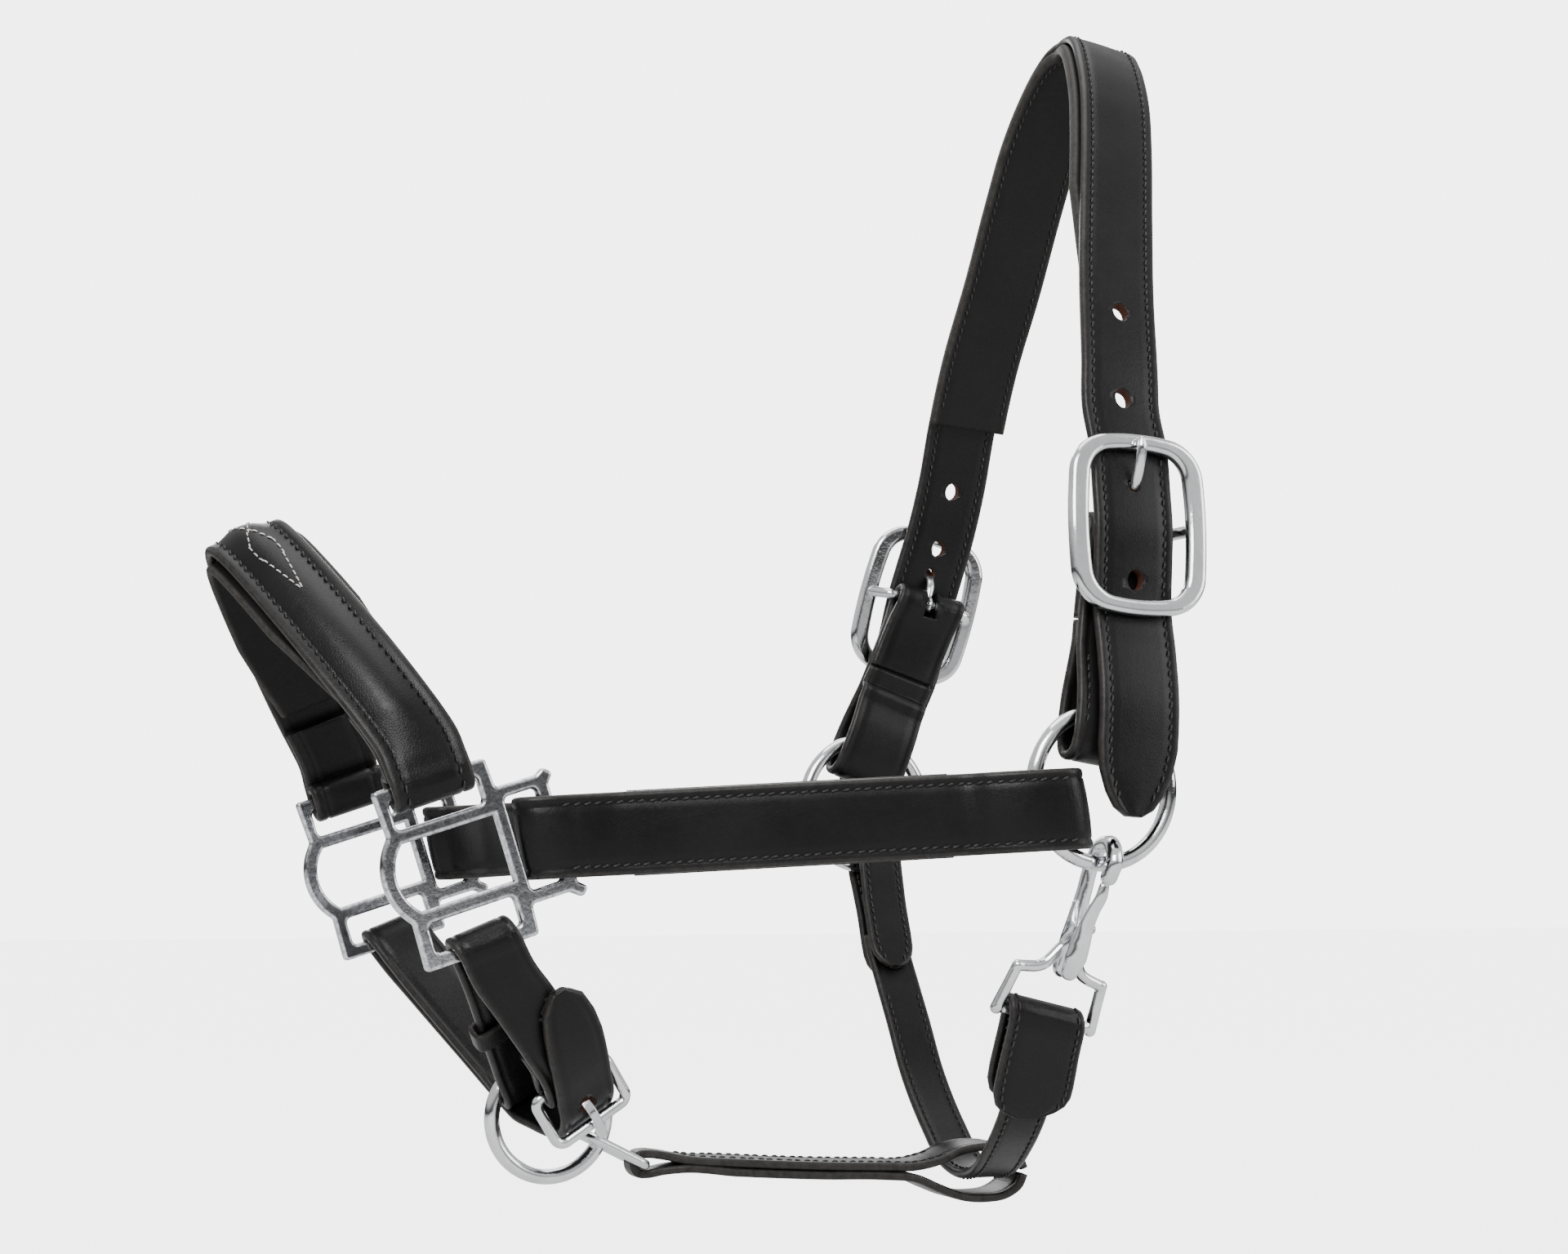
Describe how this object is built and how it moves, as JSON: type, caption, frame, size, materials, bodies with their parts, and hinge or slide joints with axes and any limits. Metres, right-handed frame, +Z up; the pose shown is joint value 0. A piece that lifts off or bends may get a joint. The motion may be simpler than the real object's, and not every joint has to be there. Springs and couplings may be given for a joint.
{
  "type": "leather headcollar",
  "caption": "Leather headcollar: padded crown and noseband joined by cheek straps, with chrome squares, rings, buckles, snap hook and lead ring.",
  "frame": {"origin": "inner face of the crown's lining at the top of the arch, where the headcollar hangs", "axes": "+Z up; the nose points to -X; -Y is the near (left) side"},
  "size_m": [0.3315, 0.2122, 0.413],
  "materials": {
    "strap_leather": "semi-gloss, finely grained, burnished edges",
    "lining_leather": "matte, softer lining leather",
    "chrome": "polished plated castings and wire",
    "steel": "satin pivot pin"
  },
  "bodies": {
    "headpiece": {"crown_strap": "strap_leather", "crown_lining": "lining_leather", "near_chape": "strap_leather", "far_chape": "strap_leather", "near_crown_buckle": "chrome", "far_crown_buckle": "chrome", "throat_strap": "strap_leather", "near_throat_tab": "strap_leather", "far_throat_tab": "strap_leather", "snap_hook": "chrome", "snap_pin": "steel"},
    "near_ring": {"near_throat_ring": "chrome"},
    "far_ring": {"far_throat_ring": "chrome"},
    "near_tongue": {"near_crown_tongue": "chrome"},
    "far_tongue": {"far_crown_tongue": "chrome"},
    "gate": {"snap_gate": "chrome"},
    "near_cheek": {"near_cheek_strap": "strap_leather", "near_cheek_lining": "lining_leather"},
    "far_cheek": {"far_cheek_strap": "strap_leather", "far_cheek_lining": "lining_leather"},
    "nose": {"near_square": "chrome", "far_square": "chrome", "noseband_strap": "strap_leather", "noseband_pad": "lining_leather", "noseband_lining": "lining_leather", "chin_strap": "strap_leather", "chin_buckle": "chrome", "chin_keeper": "strap_leather"},
    "chin_prong": {"chin_tongue": "chrome"},
    "lead": {"lead_ring": "chrome"},
    "connector": {"connector_link": "chrome", "connector_strap": "strap_leather"}
  },
  "joints": [
    {"name": "sway", "type": "hinge", "parent": "headpiece", "child": "near_cheek", "pos_m": [-0.0708, -0.094, -0.2715], "axis": [0, 0, 1], "range_deg": [-4.4, 4.4]},
    {"name": "far_sway", "type": "hinge", "parent": "headpiece", "child": "far_cheek", "pos_m": [-0.0708, 0.094, -0.2715], "axis": [0, 0, 1], "range_deg": [-4.5, 4.5]},
    {"name": "nose_swing", "type": "hinge", "parent": "near_cheek", "child": "nose", "pos_m": [-0.2184, -0.057, -0.2715], "axis": [0, 0, 1], "range_deg": [-7.3, 7.3]},
    {"name": "connector_swing", "type": "hinge", "parent": "nose", "child": "connector", "pos_m": [-0.18539, 0, -0.37986], "axis": [0, 0, 1], "range_deg": [-8.4, 8.4]},
    {"name": "near_ring_spin", "type": "hinge", "parent": "headpiece", "child": "near_ring", "pos_m": [-0.0503, -0.094, -0.266], "axis": [0, 1, 0], "continuous": true},
    {"name": "far_ring_spin", "type": "hinge", "parent": "headpiece", "child": "far_ring", "pos_m": [-0.0503, 0.094, -0.266], "axis": [0, 1, 0], "continuous": true},
    {"name": "lead_ring_spin", "type": "hinge", "parent": "nose", "child": "lead", "pos_m": [-0.2023, 0, -0.3712], "axis": [0, 1, 0], "continuous": true},
    {"name": "near_tongue_lift", "type": "hinge", "parent": "headpiece", "child": "near_tongue", "pos_m": [-0.0388, -0.0885, -0.1835], "axis": [0.9994, 0, -0.0349], "range_deg": [0, 3.5]},
    {"name": "far_tongue_lift", "type": "hinge", "parent": "headpiece", "child": "far_tongue", "pos_m": [-0.0258, 0.0885, -0.1895], "axis": [-0.9703, 0, 0.2419], "range_deg": [0, 3.5]},
    {"name": "chin_tongue_lift", "type": "hinge", "parent": "nose", "child": "chin_prong", "pos_m": [-0.20398, -0.027, -0.35699], "axis": [-0.8396, 0, -0.5432], "range_deg": [0, 3.5]},
    {"name": "gate_open", "type": "hinge", "parent": "headpiece", "child": "gate", "pos_m": [-0.05514, -0.08829, -0.30968], "axis": [-0.9723, -0.02, 0.2331], "range_deg": [0, 14], "stiffness_Nm_per_rad": 0.05}
  ],
  "couplings": [
    {"joint": "far_sway", "follows": "sway", "ratio": 1},
    {"joint": "nose_swing", "follows": "sway", "ratio": -1.649},
    {"joint": "connector_swing", "follows": "sway", "ratio": 1.898}
  ]
}
